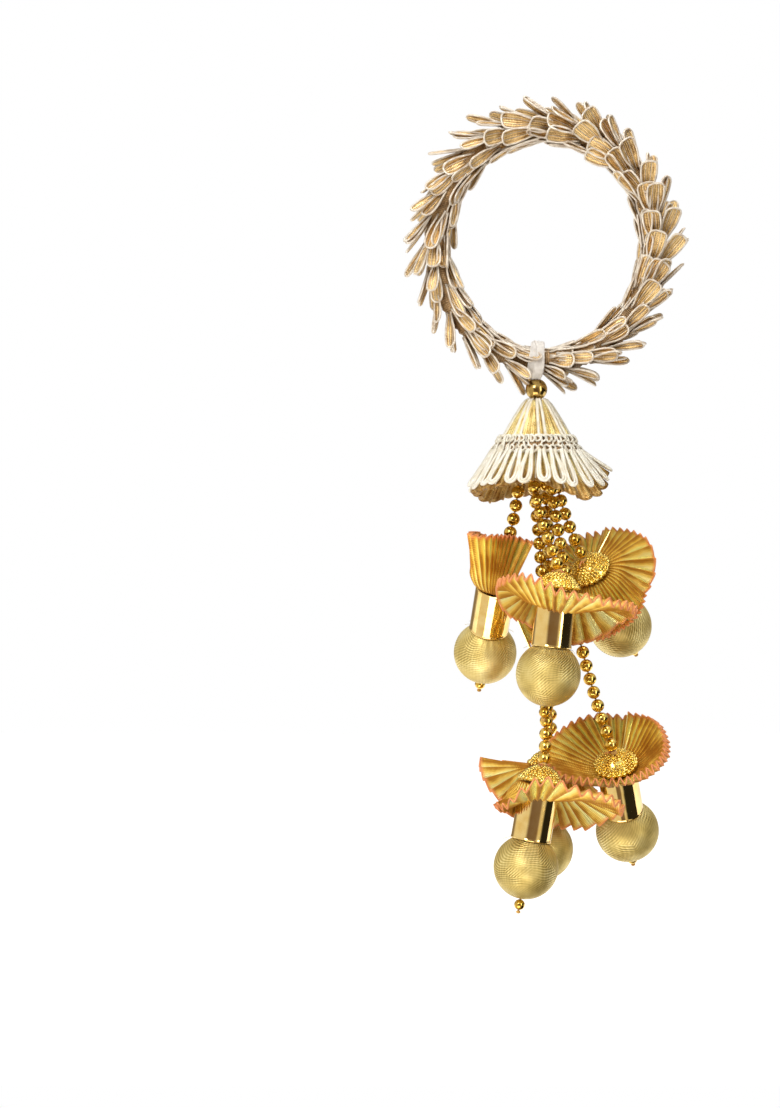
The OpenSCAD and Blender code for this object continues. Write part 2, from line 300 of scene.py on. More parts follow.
def wave(tree, place, pitch):
    return maths(tree, "SINE", maths(tree, "MULTIPLY", place, math.tau / pitch))


def noise(tree, scale, detail=2.0):
    place = addNode(tree, "TexCoord").outputs["Object"]
    return addNode(tree, "TexNoise", {"Vector": place, "Scale": scale, "Detail": detail}).outputs[0]


def ramp(tree, fac, *stops):
    made = addNode(tree, "ValToRGB", {0: fac})
    while len(made.color_ramp.elements) < len(stops):
        made.color_ramp.elements.new(0.5)
    for element, (place, colour) in zip(made.color_ramp.elements, stops):
        element.position = place
        element.color = (*colour, 1)
    return made.outputs[0]


def grey(v):
    return (v, v, v)


def paint(tree, shader, colour, rough=None):
    tree.links.new(colour, shader.inputs["Base Color"])
    if rough is not None:
        tree.links.new(rough, shader.inputs["Roughness"])


def bump(tree, shader, height, distance):
    made = addNode(tree, "Bump", {"Height": height, "Distance": distance * mm, "Strength": 1.0})
    tree.links.new(made.outputs[0], shader.inputs["Normal"])


# Woven metal ribbon: fine ribs along the ribbon, finer wefts across, patches worn brighter or browner, and
# painted shade along it where one is given
def ribbonFinish(name, light, dark, ribPitch, weftPitch, relief, metal=0.85, rough=0.34, paintedShade=None):
    material, tree, shader = newFinish(name, metal=metal)
    across, along = clothPlace(tree)
    ribs = wave(tree, across, ribPitch)
    wefts = wave(tree, along, weftPitch)
    patches = noise(tree, 260)
    height = weigh(tree, (ribs, 0.6), (wefts, 0.4))
    colour = ramp(tree, weigh(tree, (height, 0.22), (patches, 1)), (0.25, dark), (0.62, light))
    if paintedShade:  # painted shade: darker by the distance along the ribbon, in mm
        whole = paintedShade[-1][0]
        shadow = ramp(tree, maths(tree, "DIVIDE", along, whole), *[(place / whole, c) for place, c in paintedShade])
        colour = addNode(tree, "MixRGB", {0: 1.0, 1: colour, 2: shadow}, blend_type="MULTIPLY").outputs[0]
    glint = noise(tree, 2600, 1)
    paint(tree, shader, colour, ramp(tree, glint, (0.3, grey(rough + 0.14)), (0.7, grey(rough - 0.1))))
    bump(tree, shader, height, relief)
    return material


# Cord spun from metal strip, with its twist
def cordFinish(name, light, dark, turnLength, metal=0.7, rough=0.36):
    material, tree, shader = newFinish(name, metal=metal)
    around, along = clothPlace(tree)
    twist = maths(tree, "ADD", around, maths(tree, "DIVIDE", along, turnLength))
    strands = wave(tree, twist, 1 / 3)  # three strands
    patches = noise(tree, 420)
    colour = ramp(tree, weigh(tree, (strands, 0.2), (patches, 1)), (0.22, dark), (0.6, light))
    paint(tree, shader, colour, ramp(tree, patches, (0.3, grey(rough + 0.1)), (0.7, grey(rough - 0.08))))
    bump(tree, shader, strands, 0.05)
    return material


# Plated metal with soft dents and fine handling marks
def metalFinish(name, light, dark, rough, dentScale, dent, wear=0.08):
    material, tree, shader = newFinish(name, metal=1.0)
    colour = ramp(tree, noise(tree, 300, 3), (0.3, dark), (0.65, light))
    marks = noise(tree, 1500, 4)
    paint(tree, shader, colour, ramp(tree, marks, (0.35, grey(rough)), (0.75, grey(rough + wear))))
    bump(tree, shader, noise(tree, dentScale), dent)
    return material


def cottonFinish(name, light, dark, pitch):
    material, tree, shader = newFinish(name, rough=0.82, sheen=0.3)
    across, along = clothPlace(tree)
    height = maths(tree, "MULTIPLY", wave(tree, across, pitch), wave(tree, along, pitch))
    shade = weigh(tree, (height, 0.15), (noise(tree, 350), 1))
    paint(tree, shader, ramp(tree, shade, (0.25, dark), (0.6, light)))
    bump(tree, shader, height, 0.06)
    return material


# Each finish has its light colour, its dark colour and then its pitches in mm, a ribbon also its relief
silverCord = cordFinish("silverCord", (0.98, 0.92, 0.82), (0.5, 0.38, 0.27), 1.1, metal=0.55)
whiteCord = cordFinish("whiteCord", (1.0, 0.98, 0.9), (0.74, 0.66, 0.48), 1.0, metal=0.35)
# Ring loops: painted shade, darkest at each loop's root and gone 6.5 mm along it
champagneRibbon = ribbonFinish(
    "champagneRibbon", (0.96, 0.71, 0.35), (0.34, 0.19, 0.07), 0.75, 0.5, 0.08,
    paintedShade=[(0, (0.42, 0.35, 0.28)), (3.5, (0.72, 0.66, 0.58)), (6.5, (1, 1, 1)), (11, (1, 1, 1))])
# Dark winding ribbon: the ring core's own cover, and the trim's backing, where its darkness is painted shade
# between the stitches
windingAndShadeRibbon = ribbonFinish("windingAndShadeRibbon", (0.4, 0.26, 0.13), (0.13, 0.08, 0.04), 0.6, 0.4, 0.06)
# Cap cloth: painted shade, darker and browner from 24 mm of cloth down to the hem
capRibbon = ribbonFinish(
    "capRibbon", (1.0, 0.87, 0.42), (0.6, 0.38, 0.1), 0.6, 0.45, 0.1, metal=0.7,
    paintedShade=[(0, (1, 1, 1)), (24, (1, 1, 1)), (29, (0.8, 0.66, 0.5)), (32.4, (0.5, 0.36, 0.25))])
whiteTape = cottonFinish("whiteTape", (0.84, 0.81, 0.77), (0.55, 0.5, 0.46), 0.4)
beadGold = metalFinish("beadGold", (0.95, 0.67, 0.16), (0.6, 0.35, 0.05), 0.1, 500, 0.12)
bronzeGold = metalFinish("bronzeGold", (0.6, 0.42, 0.14), (0.36, 0.22, 0.06), 0.14, 300, 0.1)
tubeGold = metalFinish("tubeGold", (0.93, 0.7, 0.3), (0.84, 0.56, 0.18), 0.05, 70, 0.25, wear=0.05)
filigreeGold = metalFinish("filigreeGold", (1.0, 0.82, 0.26), (0.72, 0.46, 0.08), 0.16, 900, 0.1)
goldenThread = cottonFinish("goldenThread", (0.85, 0.5, 0.1), (0.55, 0.26, 0.04), 0.3)
coralThread = cordFinish("coralThread", (1.0, 0.43, 0.17), (0.72, 0.19, 0.05), 0.8, metal=0.0, rough=0.55)


def rosetteFinish():
    material, tree, shader = newFinish("rosetteRibbon", metal=0.55, gloss=0.2, brushed=0.3)
    across, along = clothPlace(tree)
    grain = wave(tree, along, 0.5)  # ribs run round the rosette, across its pleats
    threads = wave(tree, across, 0.34)
    patches = noise(tree, 180)
    height = weigh(tree, (grain, 0.75), (threads, 0.25))
    turns = maths(tree, "MULTIPLY", across, math.tau / rosette["pleatFlat"])
    pleatShade = maths(tree, "COSINE", turns)  # painted highlight on a ridge at 1, painted shade in a valley at -1
    # Colour from painted pleat shade and highlight, the weave and random patches
    shade = weigh(tree, (pleatShade, 0.33), (height, 0.08), (patches, 0.6))
    gold = ramp(tree, shade, (0.0, (0.5, 0.21, 0.02)), (0.2, (1.0, 0.71, 0.13)), (0.45, (1.0, 0.96, 0.42)))
    whole = rosette["runs"][-1]
    stops = [(place / whole, grey(value)) for place, value in rosette["rimTint"]]
    rim = ramp(tree, maths(tree, "DIVIDE", along, whole), *stops)
    colour = addNode(tree, "MixRGB", {0: rim, 1: gold, 2: (*rosette["rimColour"], 1)}).outputs[0]
    paint(tree, shader, colour, ramp(tree, shade, (0.1, grey(0.42)), (0.6, grey(0.25))))
    bump(tree, shader, height, 0.07)
    return material


def tissueFinish():
    material, tree, shader = newFinish("ballTissue", metal=0.8)
    across, along = clothPlace(tree)
    # The weave runs aslant where the cloth is pulled
    drift = maths(tree, "MULTIPLY", noise(tree, 75, 0.5), 9.0)
    level = wave(tree, maths(tree, "ADD", along, drift), 0.64)
    aslant = wave(tree, weigh(tree, (along, 0.8), (across, -0.75), (drift, 0.4)), 0.8)
    pulled = ramp(tree, noise(tree, 125, 0.5), (0.5, grey(0)), (0.54, grey(1)))  # where ribs slant
    ribs = maths(tree, "ADD", level, maths(tree, "MULTIPLY", pulled, maths(tree, "SUBTRACT", aslant, level)))
    wefts = wave(tree, maths(tree, "SUBTRACT", across, drift), ball["weftPitch"])
    patches = noise(tree, 140)
    plain = ramp(tree, noise(tree, 95, 1), (0.4, grey(0.15)), (0.62, grey(1)))  # where ribs lie flat
    height = maths(tree, "MULTIPLY", weigh(tree, (ribs, 0.8), (wefts, 0.2)), plain)
    shade = weigh(tree, (height, 0.36), (patches, 1))
    colour = ramp(tree, shade, (0.15, (0.3, 0.21, 0.05)), (0.5, (0.66, 0.51, 0.17)),
                  (0.85, (0.95, 0.82, 0.4)))
    paint(tree, shader, colour, ramp(tree, patches, (0.3, grey(0.6)), (0.7, grey(0.44))))
    bump(tree, shader, height, 0.08)
    return material


print("finishes mixed")

# Ring of loop lace
ring = {
    "halfWidth": 32.4, "top": 34.0, "bottom": 35.4,  # its middle line
    "tieX": -2.6,
    "core": 3.4, "wrapRelief": 0.22,
    "loops": 268, "loopsPerTurn": 9.05,
    "loopLength": 10.8, "lengths": (0.88, 1.08),  # and between which shares of it they vary
    "loopWidth": 3.5, "widths": (0.85, 1.2),
    "cloth": 0.16, "cord": 0.33, "innerCord": 0.12,
    "liftOuter": 27, "liftInner": 8, "liftScatter": 13,  # degrees off the core
    "sway": 9, "tilt": 14,  # degrees by which the loops stray
    "bare": 0.008,  # share of the ring left for the tie
    "starters": 16, "starterLength": 0.7,  # short loops close beside the tie
    "cupWidth": 0.5, "cupBlunt": 0.08,  # how much wider and blunter the loops in front are
    "cupFrom": 0.1, "cupTo": 0.5,  # that is on the right side, from and to these shares of the ring
    "seed": 4,
}


def ringPoint(t):
    a = math.radians(270) + math.asin(ring["tieX"] / ring["halfWidth"]) + math.tau * np.asarray(t, float)
    high = np.where(np.sin(a) > 0, ring["top"], ring["bottom"])
    return np.stack([ring["halfWidth"] * np.cos(a), 0 * a, high * np.sin(a)], -1)


def ringFrame(t):
    along = unit(ringPoint(np.asarray(t) + 0.002) - ringPoint(np.asarray(t) - 0.002))
    outward = np.cross((0, 1, 0), along)
    return ringPoint(t), along, outward


# Half the width of a loop at share s of its length
def loopWidth(s, width, root=0.4, fullAt=0.62, roundFrom=0.8):
    widening = root + (1 - root) * smooth(s / fullAt)
    rounding = np.sqrt(np.clip(1 - (np.clip(s - roundFrom, 0, 1) / (1 - roundFrom)) ** 2, 0, 1))
    return width / 2 * widening * rounding


def addLoop(heap, root, along, out, length, width, curl, crown, blunt):
    side = np.cross(out, along)

    def at(s, q):
        s, q = np.asarray(s)[..., None], np.asarray(q)[..., None]
        rise = curl * s ** 2 + crown * (1 - q ** 2) * np.sin(math.pi * np.clip(0.25 + 0.6 * s, 0, 1))
        return root + along * length * s + side * loopWidth(s, width, roundFrom=0.8 + blunt) * q + out * rise

    s = np.array([0, 0.12, 0.28, 0.45, 0.62, 0.76, 0.87, 0.94, 0.985])
    q = np.linspace(-1, 1, 6)
    sGrid, qGrid = np.meshgrid(s, q, indexing="ij")
    spots = np.stack([qGrid * width / 2 + 10 * root[0], sGrid * length], -1)
    addSheet(heap, at(sGrid, qGrid), spots, ring["cloth"])
    edge = np.concatenate([s[:-1], [0.975, 0.995]])
    path = np.concatenate([at(edge, -np.ones(len(edge))), at(edge[::-1], np.ones(len(edge)))])
    addCord(heap, path, ring["cord"], 6, 1, aside=out)
    run = np.array([0.02, 0.2, 0.4, 0.6, 0.78, 0.9, 0.965])
    for line, face in ((-0.36, 0.1), (0.36, 0.1), (0.0, -0.1)):  # woven lines along the ribbon
        addCord(heap, at(run, np.full(len(run), line)) + out * face, ring["innerCord"], 4, 1, aside=out)


def makeRing():
    heap = newHeap()
    draw = random.Random(ring["seed"])
    steps, sides = 220, 18
    o, along, outward = ringFrame(np.arange(steps) / steps)
    turn = fullTurn(sides)
    wraps = np.arange(steps)[:, None] * 0.5 + turn / math.tau
    winding = ring["core"] + ring["wrapRelief"] * zigzag(wraps)
    grid = o[:, None] + winding[..., None] * (
        np.cos(turn)[:, None] * outward[:, None] + np.sin(turn)[:, None] * np.array([0, 1, 0]))
    spots = np.stack(np.meshgrid(np.arange(steps + 1), np.arange(sides + 1) * 1.2, indexing="ij"), -1)
    addGrid(heap, grid, spots, 2, closeRows=True, closeCols=True, flip=True)
    bare = ring["bare"]
    roots = []  # each loop's place round the ring, its turn round the core and its share of length
    for k in range(ring["starters"]):
        roll = math.tau * k / ring["starters"] * 1.5
        roots.append((bare + draw.uniform(0, 0.014), roll, ring["starterLength"]))
    for k in range(ring["loops"]):
        t = bare + (1 - 3.4 * bare) * (k + draw.uniform(-0.35, 0.35)) / ring["loops"]
        roots.append((t, math.tau * (k / ring["loopsPerTurn"]) + draw.uniform(-0.3, 0.3), 1.0))
    for t, roll, scale in roots:
        o, d, outward = ringFrame(t)
        out = leanTo(outward, np.array([0, 1, 0]), roll)
        share = (1 + math.cos(roll)) / 2
        lift = mix(ring["liftInner"], ring["liftOuter"], share ** 1.3)
        lift = math.radians(max(2, lift + draw.gauss(0, ring["liftScatter"] / 2)))
        sway = math.radians(draw.gauss(0, ring["sway"]))
        along = leanTo(leanTo(d, np.cross(out, d), sway), out, lift)
        face = unit(out - along * (out @ along))
        tilt = math.radians(draw.gauss(0, ring["tilt"]))
        face = leanTo(face, np.cross(along, face), tilt)
        length = ring["loopLength"] * draw.uniform(*ring["lengths"]) * scale
        cup = float(smooth((t - ring["cupFrom"]) / 0.08)) * (1 - float(smooth((t - ring["cupTo"]) / 0.1)))
        cup *= max(0.0, -math.sin(roll))
        width = ring["loopWidth"] * draw.uniform(*ring["widths"]) * (1 + ring["cupWidth"] * cup)
        curl, crown = draw.uniform(-0.3, 0.8), draw.uniform(-1.1, -0.35)
        root = o + out * (ring["core"] + 0.1)
        addLoop(heap, root, along, face, length, width, curl, crown, ring["cupBlunt"] * cup)
    makePiece(heap, "gota_ring", [champagneRibbon, silverCord, windingAndShadeRibbon])


makeRing()
print("ring wound")

# Hanger: tape round the ring, its knot under the cap's neck, and the bead below the ring
hanger = {
    # radius, tilt in degrees, shift along the ring
    "turns": [(5.2, 0, 0.2), (5.45, 9, -0.3), (5.7, -7, 0.1)],
    "width": 2.7, "thickness": 0.35, "crease": 0.16,
    "stem": 0.9, "stemTop": 4.4,  # its radius, and how far under the ring's middle line it starts
    "knot": 2.5, "knotDrop": 5,  # its radius, and how far under the cap's neck the threads meet in it
    "beadRadius": 3.25, "beadBore": 1.1,
}


def tapeTurn(heap, radius, tilt, shift):
    o, d, outward = ringFrame(0.0)
    steps = 56
    turn = fullTurn(steps)
    across = np.linspace(-0.5, 0.5, 7)
    radial = np.cos(turn)[:, None] * outward + np.sin(turn)[:, None] * np.array([0, 1, 0])
    slope = math.tan(math.radians(tilt))
    shiftNow = shift + slope * radius * np.sin(turn)[:, None]
    crease = hanger["crease"] * np.sin(across[None] * 19 + 2.2 * np.sin(turn)[:, None] + radius * 7)
    aside = shiftNow + across[None] * hanger["width"] * (1 - 0.12 * np.cos(3 * turn)[:, None])
    grid = o + radial[:, None] * (radius + crease)[..., None] + d * aside[..., None]
    run = np.arange(steps + 1) * radius * math.tau / steps
    spots = np.stack(np.meshgrid(run, across * 4), -1)
    addSheet(heap, grid.transpose(1, 0, 2), spots, hanger["thickness"], closeCols=True)


def makeHanger():
    heap = newHeap()
    for radius, tilt, shift in hanger["turns"]:
        tapeTurn(heap, radius, tilt, shift)
    x, size = ring["tieX"], hanger["knot"]
    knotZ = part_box("tie_tape")[0][2] / mm + size
    top = -ring["bottom"] - hanger["stemTop"]
    addCord(heap, [(x, 0, top - k * (top - knotZ) / 12) for k in range(13)], hanger["stem"], 12)
    end, rows, columns = 0.08, 13, 24
    knot = roundProfile(size, knotZ, end=end, rows=rows)
    grid = turnedGrid(knot, columns)
    lean = np.linspace(end, math.pi - end, rows)[:, None] * 3
    grid[..., :2] *= (1 + 0.05 * np.sin(5 * fullTurn(columns) + lean))[..., None]  # folds of the knot
    grid[..., 0] += x
    addGrid(heap, grid, turnedSpots(knot, columns, False), closeCols=True)
    makePiece(heap, "tie_tape", [whiteTape])


# A bead's outline from bore to bore, and back up its hole
def beadProfile(radius, bore, rows=13):
    end = math.asin(bore / radius)
    turn = np.linspace(end, math.pi - end, rows)
    outer = [(radius * math.sin(a), -radius * math.cos(a)) for a in turn]
    inner = radius * math.cos(end) - 0.12 * radius
    return outer + [(bore * 0.86, inner), (bore * 0.86, -inner)]


def centreOf(node):
    low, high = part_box(node)
    return np.array((low + high) / 2) / mm


def makeTopBead():
    heap = newHeap()
    middle = centreOf("top_bead")
    addTurned(heap, beadProfile(hanger["beadRadius"], hanger["beadBore"], 33), 64, lambda g: g + middle)
    makePiece(heap, "top_bead", [bronzeGold])


makeHanger()
makeTopBead()
print("hanger tied")

# Cone cap of pleated ribbon, and the loop lace sewn round it
cap = {
    "height": 27.0, "hem": 19.8, "gathers": 25, "cord": 0.5, "cordPairs": 8,
    "thickness": 0.6, "clothOff": -0.4, "gatherShare": 1.15,  # and how the cloth lies to the cone
    "slant": 1.2, "meanRadius": 12,  # for the weave: cloth for each mm of height, and round the cap
    "sections": [(0.00, 0.167, 0.12), (0.20, 0.34, 0.30), (0.40, 0.50, 0.40), (0.57, 0.62, 0.50),
                 (0.74, 0.75, 0.70), (1.00, 1.00, 1.10)],  # depth, radius, gather
    "headingFrom": 0.40, "headingTo": 0.57,
    "neckCords": [(-0.014, -1.0), (0.0, -0.2), (0.05, 0.25)],  # depth, and how far off the cone
    # angle, and the share of the way to the hem that a long loop reaches there
    "loopReach": [(0, 0.9), (60, 0.95), (180, 0.9), (225, 0.92), (255, 1.06), (278, 1.04), (295, 0.86),
                  (315, 0.74), (335, 0.8), (360, 0.9)],
    # angle, lift, push outwards of the hem
    "hemWave": [(0, 5, 1), (45, 2, 0.5), (90, -1, -1), (135, -3, 0.5), (180, 0, -1.5), (210, 0, -0.5),
                (240, 2.2, -1.5), (270, 3.2, -2.5), (295, 0, -0.5), (312, -3, 0.5), (335, -0.5, 1),
                (360, 5, 1)],
    "loopWidth": 3.5, "loopCord": 0.45, "seed": 9,
    "stitches": 44, "stitchRows": (0.425, 0.53), "bars": (0.475, 0.478), "stitchOff": 1.1,
    "flat": (32, 135), "flatArea": 3300,  # the cloth before it was gathered, cut as a fan
}
neckZ = centreOf("top_bead")[2] - hanger["beadRadius"] - 0.15


def capPoint(depth, angle, off=0.0, gatherShare=1.0):
    depth, angle = np.broadcast_arrays(np.asarray(depth, float), np.asarray(angle, float))
    d, radius, gather = np.array(cap["sections"]).T
    swing = np.clip(depth - cap["headingTo"], 0, 1) / (1 - cap["headingTo"])
    a, lift, push = np.array(cap["hemWave"], float).T
    degrees = np.degrees(angle) % 360
    r = (np.interp(depth, d, radius) * cap["hem"] + off
         + gatherShare * np.interp(depth, d, gather) * np.cos(cap["gathers"] * angle)
         + swing * np.interp(degrees, a, push))
    z = neckZ - depth * cap["height"] + swing * np.interp(degrees, a, lift)
    return onCircle(r, angle, z) + [ring["tieX"], 0, 0]


def capSpots(columns, run):
    return spotGrid(np.arange(columns + 1) / columns * math.tau * cap["meanRadius"], run)


def makeCap():
    heap = newHeap()
    columns = cap["gathers"] * 14
    angle = fullTurn(columns)
    fall = 0.6  # the hem flutters from this depth down
    depth = np.concatenate([np.linspace(0, cap["headingTo"], 16), np.linspace(fall, 1, 16)])
    grid = capPoint(depth[:, None], angle[None], cap["clothOff"], cap["gatherShare"])
    flutter = 0.35 * np.sin(7 * angle + 1) + 0.25 * np.sin(50 * angle + 0.8)
    grid[..., 2] += smooth((depth - fall) / (1 - fall))[:, None] * flutter
    spots = capSpots(columns, depth * cap["height"] * cap["slant"])
    addSheet(heap, grid[::-1], spots[::-1], cap["thickness"], closeCols=True)
    neck, offs = np.array(cap["neckCords"]).T
    line = np.concatenate([[neck[0], -0.006, 0.0], np.linspace(0.02, cap["headingFrom"] + 0.02, 16)])
    for k in range(cap["cordPairs"]):  # pairs of cords between the gold panels, down to the heading
        for step in (-0.5, 0.5):
            a = math.tau * (k + 0.12 * step) / cap["cordPairs"] + 0.13
            path = capPoint(line, a + step * 0.17 * (1 - line), np.interp(line, neck, offs), 0.6)
            addCord(heap, path, cap["cord"], 7, 1, aside=(-math.sin(a), math.cos(a), 0))
    for k in range(cap["gathers"]):  # edges of the pleats below the heading
        a = math.tau * (k + 0.5) / cap["gathers"]
        path = capPoint(np.linspace(cap["headingTo"], 0.97, 14), a, 0.1, cap["gatherShare"])
        addCord(heap, path, cap["cord"] * 0.6, 5, 1, aside=(-math.sin(a), math.cos(a), 0))
    addCord(heap, grid[-1], 0.3, 5, aside=(0, 0, 1), closed=True)  # the hem's own edge
    piece = makePiece(heap, "cone_cap", [capRibbon, whiteCord])


def makeTrim():
    heap = newHeap()
    draw = random.Random(cap["seed"])
    columns = cap["gathers"] * 12
    angle = fullTurn(columns)
    depth = np.linspace(cap["headingFrom"], cap["headingTo"], 8)
    grid = capPoint(depth[:, None], angle[None], 0.5)
    # The backing sheet is dark winding ribbon: painted shade in the gaps between the stitches
    addSheet(heap, grid[::-1], capSpots(columns, depth * 30)[::-1], 0.45, closeCols=True)
    stitches, off = cap["stitches"], cap["stitchOff"]
    turn = fullTurn(12)
    for row, level in enumerate(cap["stitchRows"]):  # rows of chain stitches round the heading
        for k in range(stitches):
            a = math.tau * (k + 0.5 * row) / stitches
            wide = 2.5 / stitches * draw.uniform(0.8, 1.2)
            tall = draw.uniform(0.03, 0.04)
            path = capPoint(level + tall * np.sin(turn), a + wide * np.cos(turn + 0.5 * np.sin(turn)),
                            off + 0.25 * np.cos(turn) + draw.uniform(-0.1, 0.15))
            addCord(heap, path, 0.33, 6, 1, aside=onCircle(1, a, 0.5), closed=True)
    for level in cap["bars"]:  # upright stitches between them, every fourth one or so missing
        for k in range(stitches):
            if draw.random() < 0.25:
                continue
            a = math.tau * (k + draw.uniform(0.3, 0.7)) / stitches
            lean = draw.uniform(-0.03, 0.03) * np.linspace(-1, 1, 4)
            path = capPoint(level + np.linspace(-0.03, 0.03, 4), a + lean, off)
            addCord(heap, path, 0.28, 6, 1, aside=onCircle(1, a, 0.5))
    for level in (cap["headingFrom"] - 0.01, cap["headingTo"]):
        ripple = 0.006 * np.sin(angle * stitches)
        addCord(heap, capPoint(level + ripple, angle, 0.95), 0.32, 6, 1, aside=(0, 0, 1), closed=True)
    for a in fullTurn(cap["gathers"]):  # the long loops, each of two cords side by side
        start = capPoint(cap["headingTo"] - 0.02, a, 1.0)
        end = capPoint(1.0, a, 1.3)
        along = unit(end - start)
        sway = math.radians(draw.gauss(0, 3.5))
        side = np.array([-math.sin(a), math.cos(a), 0])
        along = leanTo(along, side, sway)
        side = unit(side - along * (side @ along))
        out = np.cross(side, along)
        out *= np.sign(out @ onCircle(1, a, 0))
        share = np.interp(math.degrees(a), *np.array(cap["loopReach"]).T) * draw.uniform(0.94, 1.04)
        length = np.linalg.norm(end - start) * share
        curl = draw.uniform(-0.2, 0.7)
        for inset, lift in ((0.0, 0.0), (0.72, 0.15)):
            tip = 0.8 + 0.2 * np.sin(np.linspace(0.25, math.pi / 2, 6))
            s = np.concatenate([np.linspace(0, 0.8, 9), tip])
            half = loopWidth(s, cap["loopWidth"] - 2 * inset, root=0.45, fullAt=0.7, roundFrom=0.82)
            reach = s * (length - inset)
            rise = lift + curl * s ** 2
            leg = start + along * reach[:, None] + out * rise[:, None]
            path = np.concatenate([leg - side * half[:, None], (leg + side * half[:, None])[::-1][1:]])
            addCord(heap, path, cap["loopCord"], 7, 1, aside=out)
    makePiece(heap, "loop_trim", [windingAndShadeRibbon, whiteCord])


makeCap()
makeTrim()
print("cap sewn")

# The six drops. seam: where the rosette's ends meet. reach: extra length of its pleats towards reachSide.
# gather: the direction towards which its pleats are drawn together, and by how many degrees.
# string: where its string leaves the cap. handles: bend the string.
# lifts: how its pleats fold, from the seam round, in degrees.
# sag: how far the cloth drops round the tube before it turns up to the rim, and on which side.
drops = {
    "upper_front": {
        "pleats": 38, "seam": 100, "reach": 3, "sag": (5.2, 270),
        "lifts": [-82, -50, 6, 18, 0, -5, -15, -78, -84],
        "string": 240, "handles": [(-4.6, -5, -75), (0, -14, -88)],
    },
    "upper_left": {
        "pleats": 26, "seam": 340, "reach": 5, "reachSide": 270, "gather": (265, 44),
        "lifts": [-70, -70, -30, 84, 97, 92, 98, 102, 97],
        "string": 172, "handles": [(-7.8, 1.5, -80), (-10.6, 2.2, -89.6)],
    },
    "upper_right": {
        "seam": 50, "reach": 2.5, "reachSide": 235,
        "lifts": [-12, -5, -35, -66, -70, -76, -70, -6, -4],
        "string": 3, "handles": [(3, 3, -76), (8, 0, -87)],
    },
    "lower_front": {
        "pleats": 34, "seam": 135, "reach": 4.5, "sag": (3.6, 250),
        "lifts": [-74, -78, -43, 13, 4, -11, -43, -70, -74],
        "string": 116, "handles": [(1.4, 3.5, -108), (1, -3, -144)],
    },
    "lower_right": {
        "seam": 64, "reach": 2.4, "reachSide": 165,
        "lifts": [14, 20, 18, 34, 41, 39, 38, 38, 26],
        "string": 305, "handles": [(5, -1.5, -98), (11, -4, -128)],
    },
    "lower_back": {
        "seam": 270,
        "lifts": [-70, -70, -60, -30, -14, -8, 2, -50, -75],
        "string": 59, "handles": [(2, 10.6, -95), (2.3, 13, -130)],
    },
}
# What a drop has where its own lines don't say
usualDrop = {"pleats": 46, "reach": 0, "reachSide": 0, "gather": (0, 0), "sag": (0, 0)}
tube = {"radius": 6.0, "inner": 5.5, "length": 15.0, "top": -1.3}


# A drop's own frame, read from the solids: its axis runs from the end bead up through the tube
def readDrop(name):
    tubeMiddle, low = centreOf("tube_" + name), centreOf("end_bead_" + name)
    axis = unit(tubeMiddle - low)
    turnX, turnY = math.asin(-axis[1]), math.atan2(axis[0], axis[2])
    cx, sx, cy, sy = math.cos(turnX), math.sin(turnX), math.cos(turnY), math.sin(turnY)
    turn = np.array([[cy, 0, sy], [0, 1, 0], [-sy, 0, cy]]) @ np.array([[1, 0, 0], [0, cx, -sx], [0, sx, cx]])
    origin = tubeMiddle + axis * (tube["length"] / 2 - tube["top"])
    return lambda points: origin + np.asarray(points, float) @ turn.T


# Bead strings and their threads
beads = {
    "radius": 2.0, "bore": 0.55, "pitch": 4.15, "gap": 0.15, "seed": 12,
    "ringRadius": 4.5, "ringDrop": 13.4,  # where the strings start, round and under the cap's neck
    "thread": 0.28, "threadStart": 2.7,  # its radius, and how far from the knot's middle it starts
}
beadCap = {
    "rim": 1.35, "radius": 6.6, "height": 4.8, "inset": 0.5, "shell": 0.4,
    "grain": 0.52, "rimGrain": 0.72, "rimGrains": 24,
    "missing": 0.07,  # share of the grains that are left out
}
endBead = {"radius": 1.6, "bore": 0.4, "height": -35.7}


def stringLine(name, place):
    drop = drops[name]
    start = onCircle(beads["ringRadius"], math.radians(drop["string"]), neckZ - beads["ringDrop"])
    start[0] += ring["tieX"]
    end = place((0, 0, beadCap["rim"] + beadCap["height"] + 0.4))
    p0, p1, p2, p3 = start, *np.array(drop["handles"], float), end
    t = 1 - np.linspace(0, 1, 160)[:, None]  # from the bead cap up
    s = 1 - t
    return s ** 3 * p0 + 3 * s ** 2 * t * p1 + 3 * s * t ** 2 * p2 + t ** 3 * p3


def addBead(heap, middle, up, radius, draw):
    up = unit(np.asarray(up) + [draw.gauss(0, 0.08) for _ in range(3)])
    u = unit(np.cross(up, (0.2, 0.95, 0.1)))  # any direction square to the string
    turn = np.stack([u, np.cross(up, u), up], 1)
    addTurned(heap, beadProfile(radius, beads["bore"]), 22, lambda g: middle + g @ turn.T)


def makeString(name, place, draw):
    line = stringLine(name, place)
    run = runAlong(line)
    room = beads["radius"] + beads["gap"]
    count = int((run[-1] - 2 * room) / beads["pitch"]) + 1
    heap = newHeap()
    for b in range(count):
        at = room + b * beads["pitch"]
        middle, above, below = (
            np.array([np.interp(at + step, run, line[:, i]) for i in range(3)]) for step in (0, 1, -1))
        addBead(heap, middle, above - below, beads["radius"] * draw.uniform(0.975, 1.0), draw)
    makePiece(heap, "bead_string_" + name, [beadGold])
    return line


